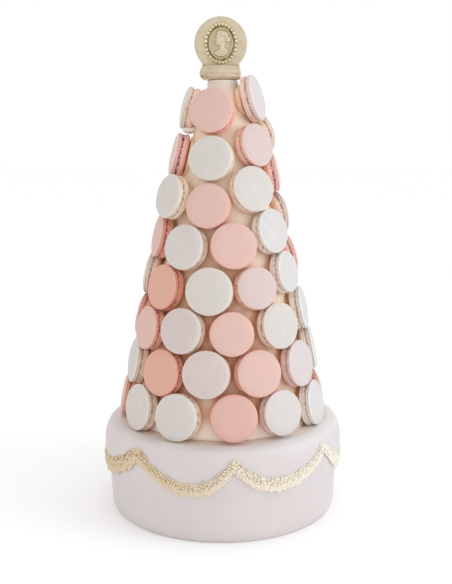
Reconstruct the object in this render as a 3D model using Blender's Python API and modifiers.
"""Wedding cake: a tall cone covered with macarons, standing on a round fondant tier.

A sugar medallion with a ring of pearls and a cameo stands on top.  Metres, +Z up.  The
origin is the middle of the tier's underside, and the front of the cake looks along -Y.
Azimuths are in degrees round +Z: 0 is the front, and they grow towards +X.
"""

import math
from collections import namedtuple

import bpy
from mathutils import Matrix, Vector

MM = 0.001
GAP = 0.3 * MM                      # left between pieces that touch
MERGE = 0.00005

# Tier: the round cake at the foot, under rolled fondant.
TIER_HEIGHT = 0.1662
TIER_RADIUS = 0.2242                # at its widest, below the rounded shoulder
TIER_STEPS = 40
# (share of the height, inset from the widest radius), from the top edge down
TIER_SIDE = (
    (1.000, 0.0270),
    (0.980, 0.0130),
    (0.930, 0.0055),
    (0.850, 0.0012),
    (0.710, 0.0000),
    (0.540, 0.0045),
    (0.380, 0.0090),
    (0.120, 0.0110),
    (0.040, 0.0140),
    (0.000, 0.0185),
)

# Cone: the smooth iced core that carries the macarons.
CONE_FOOT_RADIUS = 0.1672
CONE_NECK_RADIUS = 0.0312           # where the straight flank would end
CONE_TOP_RADIUS = 0.0258            # the bare neck under the collar
CONE_BELLY = 0.0058                 # bulge of the flank, half way up
CONE_NECK_HEIGHT = 0.785
CONE_TOP_HEIGHT = 0.7885
CONE_STEPS = 32

# Macarons
MACARON_THICKNESS = 0.030
MACARON_STEPS = 14
# (share of the thickness, share of the radius), from the outer dome's edge to the inner one's
MACARON_SIDE = ((0.965, 0.70), (0.73, 1.0), (0.50, 0.945), (0.27, 1.0), (0.035, 0.70))

# Rows of macarons from the foot of the cone, each with the height of its macarons' middles
# on the flank.  One entry for each macaron: azimuth, rise above its row, stand-off from the
# flank and diameter, all in millimetres, then colour and the degrees it is tipped up.
# Two entries in brackets of their own are neighbours pressed together, which share a node.
Row = namedtuple("Row", "height places")
Place = namedtuple("Place", "azimuth rise stand diameter colour tip", defaults=(0,))
ROWS = (
    Row(206, (
        Place(-88, -2, 2, 80, "pink"),
        Place(-56, 0, 2, 84, "white"),
        Place(-26, -1, 2, 83, "white"),
        Place(6, +3, 1, 83, "pink"),
        Place(35, +3, 1, 81, "white"),
        Place(67, -1, 2, 83, "white"),
        Place(101, +1, 1, 80, "pink"),
        (Place(135, +4, 1, 81, "white"), Place(122, +73, 1, 82, "white")),
        (Place(167, +2, 1, 83, "pink"), Place(154, +72, 1, 82, "pink")),
        (Place(199, 0, 1, 82, "white"), Place(188, +71, 1, 80, "white")),
        (Place(232, +1, 1, 80, "pink"), Place(219, +70, 1, 83, "pink")),
    )),
    Row(280, (
        Place(-76, -2, 1, 84, "white"),
        Place(-40, -4, 1, 83, "pink"),
        Place(-10, +1, 1, 84, "white"),
        Place(22, +1, 1, 83, "pink"),
        Place(56, +4, 1, 84, "white"),
        Place(88, +15, 2, 84, "white"),
        Place(253, -3, 1, 80, "white"),
    )),
    Row(354, (
        Place(-60, -8, 3, 79, "pink"),
        Place(-28, -3, 2, 81, "white"),
        Place(6, -5, 1, 78, "pink"),
        Place(41, +3, 1, 83, "white"),
        Place(80, +20, 1, 81, "white"),
        Place(120, +5, 1, 81, "pink"),
        Place(263, -1, 1, 83, "pink"),
    )),
    Row(428, (
        Place(-95, +7, 2, 84, "white"),
        Place(-50, -7, 1, 82, "pink"),
        Place(-10, -8, 1, 84, "white"),
        Place(25, -3, 2, 76, "pink"),
        Place(60, +18, 1, 76, "white"),
        Place(105, +37, 1, 83, "pink"),
        (Place(147, +6, 2, 81, "white"), Place(156, -69, 1, 82, "white")),
        (Place(184, -1, 1, 82, "pink"), Place(196, -74, 2, 82, "pink")),
        (Place(226, +1, 1, 82, "white"), Place(230, -76, 1, 82, "white")),
    )),
    Row(503, (
        Place(-77, +4, 1, 81, "pink"),
        Place(-33, -10, 2, 81, "white"),
        Place(9, -6, 2, 82, "pink"),
        Place(49, +16, 1, 80, "white"),
        Place(109, +42, 1, 81, "white"),
        (Place(152, +9, 1, 79, "pink"), Place(149, +86, 1, 83, "pink")),
        (Place(196, +1, 1, 83, "white"), Place(199, +79, 1, 81, "white")),
        (Place(240, +2, 1, 81, "pink"), Place(249, +78, 1, 82, "pink")),
    )),
    Row(580, (
        Place(-56, -3, 12, 80, "white"),
        Place(-14, -16, 2, 80, "pink"),
        Place(32, +13, 1, 82, "white"),
        Place(95, +43, 1, 80, "pink"),
    )),
    Row(660, (
        Place(-85, -8, 1, 81, "pink"),
        Place(-14, -14, 1, 80, "white"),
        Place(46, +8, 2, 78, "pink"),
        Place(122, +31, 8, 82, "white", 9),
        (Place(193, +10, 1, 80, "pink"), Place(176, +84, 2, 82, "pink")),
    )),
    Row(740, (
        Place(-92, -5, 1, 78, "white"),
        Place(-17, -12, 1, 81, "pink"),
        Place(73, +12, 2, 84, "white"),
    )),
)

# Garland: a beaded sugar ruffle hung in swags round the tier.
# One entry for each swag: the azimuth where it starts, the share of its way at which it hangs
# lowest, how pointed its hollow is, and how far it hangs.  It ends where the next one starts.
Swag = namedtuple("Swag", "start lowest point drop")
SWAGS = (
    Swag(-114.0, 0.48, 0.66, 0.055),
    Swag(-42.5, 0.58, 0.73, 0.052),
    Swag(5.0, 0.44, 0.78, 0.046),
    Swag(53.0, 0.50, 0.75, 0.055),
    Swag(106.0, 0.50, 0.80, 0.050),
    Swag(153.0, 0.50, 0.80, 0.050),
    Swag(199.0, 0.50, 0.80, 0.051),
)
SWAG_STEPS = 12                     # along one swag
SWAG_TOP = 0.150                    # height of its middle line where swags meet
SWAG_WIDTH = 0.027
SWAG_WIDTH_AT_TOP = 0.016
SWAG_STAND = 0.0034                 # of the ribbon's face from the tier's side
SWAG_WALL = 0.0013                  # thickness of the ribbon
SWAG_RIDGE = 0.0014                 # height of the ruffle's beads along its middle
SWAG_FLUTE = 0.0010                 # in-and-out of the ruffle's edges

# Topper
TOPPER_X = -0.0035                  # the topper stands a little to the left of the neck
COLLAR_HEIGHT = 0.0248
COLLAR_HALF_WIDTH = 0.0368
COLLAR_HALF_DEPTH = 0.0300
COLLAR_GROOVE = 0.0016
COLLAR_STEPS = 20
DISC_RADIUS = 0.0472
DISC_THICKNESS = 0.016
DISC_CENTRE_HEIGHT = 0.8528
DISC_FOOT_HALF_WIDTH = 0.0345
DISC_EDGE = 0.0045                  # its rounded edge
DISC_ARC_STEPS = 22
PEARLS = 28
PEARL_RADIUS = 0.0031
PEARL_RING_HALF_WIDTH = 0.0270
PEARL_RING_HALF_HEIGHT = 0.0333
PEARL_SINK = 0.0008                 # depth to which a pearl is pressed into the disc
CAMEO_HALF_WIDTH = 0.0218
CAMEO_HALF_HEIGHT = 0.0275
CAMEO_THICKNESS = 0.0030
CAMEO_EDGE = 0.0010
CAMEO_STEPS = 20
BUST_RAISE = 0.0010                 # of the bust's middle, in front of the plate

# (sRGB colour, roughness) of each finish
FINISHES = {
    "fondant_white": ("#EAE4E3", 0.55),
    "fondant_ivory": ("#E9DCCB", 0.60),
    "macaron_pink": ("#E9B5AC", 0.70),
    "macaron_white": ("#E9E3DD", 0.70),
    "sugar_champagne": ("#CFC0A3", 0.50),
    "sugar_gold": ("#D9CBA6", 0.45),
    "cameo_cream": ("#D8CBB4", 0.50),
}

TIER_TOP = TIER_HEIGHT + GAP
COLLAR_BASE = CONE_TOP_HEIGHT + GAP
DISC_BASE = COLLAR_BASE + COLLAR_HEIGHT + GAP


# ---------------------------------------------------------------------------- helpers


def clear_scene():
    for obj in list(bpy.data.objects):
        bpy.data.objects.remove(obj, do_unlink=True)


def new_collection(name):
    group = bpy.data.collections.new(name)
    bpy.context.scene.collection.children.link(group)
    return group


def srgb_to_linear(code):
    parts = [int(code[i : i + 2], 16) / 255 for i in (1, 3, 5)]
    linear = [c / 12.92 if c <= 0.04045 else ((c + 0.055) / 1.055) ** 2.4 for c in parts]
    return (*linear, 1.0)


def finish(name):
    """The Principled material of one of the FINISHES."""
    material = bpy.data.materials.get(name)
    if material is None:
        colour, roughness = FINISHES[name]
        material = bpy.data.materials.new(name)
        material.use_nodes = True
        shader = material.node_tree.nodes["Principled BSDF"]
        shader.inputs["Base Color"].default_value = srgb_to_linear(colour)
        shader.inputs["Roughness"].default_value = roughness
        shader.inputs["Metallic"].default_value = 0.0
    return material


def add_object(name, data, group, material=None):
    obj = bpy.data.objects.new(name, data)
    group.objects.link(obj)
    if material:
        data.materials.append(finish(material))
    return obj


def turned(name, profile, steps, group, material=None):
    """A solid turned round Z from (radius, height) points that run down its outer side."""
    mesh = bpy.data.meshes.new(name)
    points = [(radius, 0.0, height) for radius, height in profile]
    mesh.from_pydata(points, [(i, i + 1) for i in range(len(points) - 1)], [])
    obj = add_object(name, mesh, group, material)
    screw = obj.modifiers.new("turn", "SCREW")
    screw.steps = screw.render_steps = steps
    screw.use_merge_vertices = True
    screw.merge_threshold = MERGE
    screw.use_smooth_shade = True
    return obj


def apply_modifiers(obj):
    """Replaces the object's data with its evaluated mesh."""
    bpy.context.view_layer.update()
    source = obj.evaluated_get(bpy.context.evaluated_depsgraph_get())
    mesh = bpy.data.meshes.new_from_object(source)
    obj.modifiers.clear()
    obj.data = mesh


def bake_matrix(obj):
    """Moves the object's place into its mesh."""
    obj.data.transform(obj.matrix_basis)
    obj.matrix_basis = Matrix.Identity(4)


def cutter_group(name):
    group = new_collection(name)
    group.hide_render = True
    return group


def join_group(obj, group, solver="EXACT"):
    """Unites the object with everything in a collection, which is then emptied."""
    union = obj.modifiers.new("join", "BOOLEAN")
    union.operation = "UNION"
    union.solver = solver
    union.operand_type = "COLLECTION"
    union.collection = group
    apply_modifiers(obj)
    for piece in list(group.objects):
        bpy.data.objects.remove(piece, do_unlink=True)
    bpy.data.collections.remove(group)


def smooth_edges(obj, angle=35):
    obj.data.shade_smooth()
    obj.data.set_sharp_from_angle(angle=math.radians(angle))


# ---------------------------------------------------------------------------- surfaces


def tier_radius(height):
    """Radius of the tier's side at a height."""
    levels = [(share * TIER_HEIGHT, TIER_RADIUS - inset) for share, inset in TIER_SIDE]
    for (upper, outer_top), (lower, outer_low) in zip(levels, levels[1:]):
        if height >= lower:
            share = (height - lower) / (upper - lower)
            return outer_low + (outer_top - outer_low) * min(share, 1.0)
    return levels[-1][1]


def cone_radius(height):
    """Radius of the cone's flank at a height."""
    share = (height - TIER_TOP) / (CONE_NECK_HEIGHT - TIER_TOP)
    straight = CONE_FOOT_RADIUS + (CONE_NECK_RADIUS - CONE_FOOT_RADIUS) * share
    return straight + 4 * CONE_BELLY * share * (1 - share)


def outward(azimuth):
    angle = math.radians(azimuth)
    return Vector((math.sin(angle), -math.cos(angle), 0.0))


# ---------------------------------------------------------------------------- tier and cone


def build_tier(group):
    side = [(TIER_RADIUS - inset, share * TIER_HEIGHT) for share, inset in TIER_SIDE]
    profile = [(0.0, TIER_HEIGHT)] + side + [(0.0, 0.0)]
    return turned("tier", profile, TIER_STEPS, group, "fondant_white")


def build_cone(group):
    heights = [0.755, 0.66, 0.54, 0.41, 0.28]
    profile = [(0.0, CONE_TOP_HEIGHT), (CONE_TOP_RADIUS, CONE_TOP_HEIGHT)]
    profile += [(CONE_TOP_RADIUS + 0.0008, CONE_NECK_HEIGHT - 0.009)]
    profile += [(cone_radius(height), height) for height in heights]
    profile += [(CONE_FOOT_RADIUS, TIER_TOP), (0.0, TIER_TOP)]
    return turned("cone", profile, CONE_STEPS, group, "fondant_ivory")


# ---------------------------------------------------------------------------- macarons


def macaron_matrix(row, place, partner=None):
    """Stands a macaron on the cone's flank: its own Z points away from the flank.

    One that is pressed against a partner has a corner of its rim turned to that partner.
    """
    height = (row.height + place.rise) * MM
    step = 0.5 * MM
    slope = (cone_radius(height - step) - cone_radius(height + step)) / (2 * step)
    radial = outward(place.azimuth)
    up = Vector((0.0, 0.0, 1.0))
    across = up.cross(radial)

    def leaning(angle):
        return radial * math.cos(angle) + up * math.sin(angle)

    lean = math.atan(slope)
    middle = place.stand * MM + MACARON_THICKNESS / 2
    centre = radial * cone_radius(height) + up * height + leaning(lean) * middle
    normal = leaning(lean + math.radians(place.tip))
    matrix = Matrix((across, normal.cross(across), normal)).transposed().to_4x4()
    matrix.translation = centre - normal * MACARON_THICKNESS / 2
    if partner:
        towards = macaron_matrix(row, partner).translation - matrix.translation
        turn = math.atan2(towards.dot(matrix.col[1].xyz), towards.dot(matrix.col[0].xyz))
        matrix = matrix @ Matrix.Rotation(turn, 4, "Z")
    return matrix


def build_macaron(name, row, place, group, partner=None):
    radius = place.diameter * MM / 2
    side = [(radius * wide, MACARON_THICKNESS * high) for high, wide in MACARON_SIDE]
    profile = [(0.0, MACARON_THICKNESS)] + side + [(0.0, 0.0)]
    obj = turned(name, profile, MACARON_STEPS, group, "macaron_" + place.colour)
    obj.matrix_basis = macaron_matrix(row, place, partner)
    return obj


def build_macarons(group):
    for level, row in enumerate(ROWS, start=1):
        for number, entry in enumerate(row.places, start=1):
            if isinstance(entry, Place):
                build_macaron(f"macaron_{level}_{number:02d}", row, entry, group)
                continue
            first, second = entry
            name = f"macaron_pair_{level}_{number:02d}"
            pair = build_macaron(name, row, first, group, partner=second)
            apply_modifiers(pair)
            bake_matrix(pair)
            joined = cutter_group("joined")
            build_macaron("second", row, second, joined, partner=first)
            join_group(pair, joined)


# ---------------------------------------------------------------------------- garland


def garland_line():
    """(azimuth, height, hang) of the garland's middle line, all the way round.

    The points lie closer together where two swags meet, because the line bends most there.
    """
    line = []
    ends = [swag.start for swag in SWAGS[1:]] + [SWAGS[0].start + 360]
    for swag, end in zip(SWAGS, ends):
        skew = math.log(0.5) / math.log(swag.lowest)
        for i in range(SWAG_STEPS):
            share = (1 - math.cos(math.pi * i / SWAG_STEPS)) / 2
            hang = math.sin(math.pi * share ** skew) ** swag.point
            azimuth = swag.start + (end - swag.start) * share
            line.append((azimuth, SWAG_TOP - swag.drop * hang, hang))
    return line


def build_garland(group):
    """A ribbon that follows the tier's side in swags, thickened inwards."""
    points = []
    for i, (azimuth, middle, hang) in enumerate(garland_line()):
        half = (SWAG_WIDTH_AT_TOP + (SWAG_WIDTH - SWAG_WIDTH_AT_TOP) * hang) / 2
        flute = SWAG_FLUTE * (1 if i % 2 else -1)
        # across the ribbon: upper edge, beaded middle line, lower edge
        for side, ridge in ((1, flute / 2), (0, SWAG_RIDGE), (-1, -flute)):
            height = middle + side * half
            stand = SWAG_STAND + ridge
            points.append(outward(azimuth) * (tier_radius(height) + stand) + Vector((0, 0, height)))
    count = len(points) // 3
    faces = []
    for i in range(count):
        here, there = 3 * i, 3 * ((i + 1) % count)
        for j in (0, 1):
            faces.append((here + j + 1, there + j + 1, there + j, here + j))
    mesh = bpy.data.meshes.new("garland")
    mesh.from_pydata(points, [], faces)
    obj = add_object("garland", mesh, group, "sugar_gold")
    wall = obj.modifiers.new("thickness", "SOLIDIFY")
    wall.thickness = SWAG_WALL
    wall.offset = -1
    return obj


# ---------------------------------------------------------------------------- topper


def build_collar(group):
    low, high = COLLAR_BASE, COLLAR_BASE + COLLAR_HEIGHT
    wide = COLLAR_HALF_WIDTH
    profile = [
        (0.0, high),
        (wide - 0.0040, high),
        (wide - 0.0010, high - 0.0018),
        (wide - COLLAR_GROOVE, high - 0.0042),
        (wide - 0.0002, high - 0.0068),
        (wide, (low + high) / 2 - 0.003),
        (wide - 0.0016, low + 0.0024),
        (wide - 0.0050, low),
        (0.0, low),
    ]
    obj = turned("topper_collar", profile, COLLAR_STEPS, group, "sugar_champagne")
    obj.scale.y = COLLAR_HALF_DEPTH / COLLAR_HALF_WIDTH
    obj.location.x = TOPPER_X
    return obj


def flat_outline(name, outline, thickness, group, material):
    """A plate from an outline in X and Z, with its front at y = 0 and its back behind it."""
    curve = bpy.data.curves.new(name, "CURVE")
    curve.dimensions = "2D"
    curve.fill_mode = "BOTH"
    curve.extrude = thickness / 2
    spline = curve.splines.new("POLY")
    spline.points.add(len(outline) - 1)
    for point, (x, z) in zip(spline.points, outline):
        point.co = (x, z, 0.0, 1.0)
    spline.use_cyclic_u = True
    flat = bpy.data.objects.new(name + "_outline", curve)
    group.objects.link(flat)
    bpy.context.view_layer.update()
    source = flat.evaluated_get(bpy.context.evaluated_depsgraph_get())
    mesh = bpy.data.meshes.new_from_object(source)
    bpy.data.objects.remove(flat, do_unlink=True)
    obj = add_object(name, mesh, group, material)
    weld = obj.modifiers.new("weld", "WELD")
    weld.merge_threshold = MERGE
    mesh.transform(Matrix.Translation((0, thickness / 2, 0)) @ Matrix.Rotation(math.pi / 2, 4, "X"))
    return obj


def round_edges(obj, width, segments):
    bevel = obj.modifiers.new("edge", "BEVEL")
    bevel.width = width
    bevel.segments = segments
    bevel.limit_method = "ANGLE"
    bevel.angle_limit = math.radians(50)


def disc_outline():
    """A circle that runs into a broad flat foot, about the disc's centre."""
    foot = DISC_BASE - DISC_CENTRE_HEIGHT
    start = math.radians(-47)
    end = math.pi - start
    arc = []
    for i in range(DISC_ARC_STEPS + 1):
        angle = start + (end - start) * i / DISC_ARC_STEPS
        arc.append((DISC_RADIUS * math.cos(angle), DISC_RADIUS * math.sin(angle)))
    return arc + [(-DISC_FOOT_HALF_WIDTH, foot), (DISC_FOOT_HALF_WIDTH, foot)]


def on_disc(x, z, depth=0.0):
    """A point of the disc's front, from its centre; a positive depth goes into it."""
    return Vector((TOPPER_X + x, depth - DISC_THICKNESS / 2, DISC_CENTRE_HEIGHT + z))


def build_disc(group):
    disc = flat_outline("topper_disc", disc_outline(), DISC_THICKNESS, group, "sugar_champagne")
    round_edges(disc, DISC_EDGE, 2)
    disc.location = on_disc(0, 0)
    apply_modifiers(disc)
    bake_matrix(disc)
    pearls = cutter_group("pearls")
    for i in range(PEARLS):
        angle = 2 * math.pi * (i + 0.5) / PEARLS
        x = PEARL_RING_HALF_WIDTH * math.cos(angle)
        z = PEARL_RING_HALF_HEIGHT * math.sin(angle)
        bpy.ops.mesh.primitive_ico_sphere_add(
            subdivisions=1, radius=PEARL_RADIUS, location=on_disc(x, z, PEARL_SINK - PEARL_RADIUS / 2)
        )
        pearl = bpy.context.object
        bpy.context.collection.objects.unlink(pearl)
        pearls.objects.link(pearl)
    join_group(disc, pearls)
    return disc


def build_cameo(group):
    outline = []
    for i in range(CAMEO_STEPS):
        angle = 2 * math.pi * i / CAMEO_STEPS
        outline.append((CAMEO_HALF_WIDTH * math.cos(angle), CAMEO_HALF_HEIGHT * math.sin(angle)))
    plate = flat_outline("cameo", outline, CAMEO_THICKNESS, group, "cameo_cream")
    round_edges(plate, CAMEO_EDGE, 1)
    plate.location = on_disc(0, 0, -CAMEO_THICKNESS - GAP)
    apply_modifiers(plate)
    bake_matrix(plate)
    bust = cutter_group("bust")
    # (x, z, half width, half height, relief, turn): shoulders, neck, head, hair, knot of hair
    forms = (
        (0.0005, -0.0170, 0.0115, 0.0062, 0.0026, 0),
        (0.0010, -0.0080, 0.0036, 0.0085, 0.0024, -8),
        (-0.0012, 0.0042, 0.0064, 0.0082, 0.0034, 12),
        (0.0022, 0.0080, 0.0082, 0.0076, 0.0038, -25),
        (0.0098, 0.0060, 0.0042, 0.0046, 0.0030, 0),
    )
    front = -CAMEO_THICKNESS - GAP - BUST_RAISE
    for x, z, half_width, half_height, relief, turn in forms:
        bpy.ops.mesh.primitive_uv_sphere_add(segments=8, ring_count=6, radius=1.0)
        form = bpy.context.object
        form.matrix_basis = (
            Matrix.Translation(on_disc(x, z, front))
            @ Matrix.Rotation(math.radians(turn), 4, "Y")
            @ Matrix.Diagonal((half_width, relief, half_height, 1.0))
        )
        bake_matrix(form)
        bpy.context.collection.objects.unlink(form)
        bust.objects.link(form)
    join_group(plate, bust)
    return plate


# ---------------------------------------------------------------------------- the cake


def main():
    clear_scene()
    cake = new_collection("wedding_cake")
    build_tier(cake)
    build_cone(cake)
    build_macarons(cake)
    build_garland(cake)
    build_collar(cake)
    smooth_edges(build_disc(cake))
    smooth_edges(build_cameo(cake))


main()
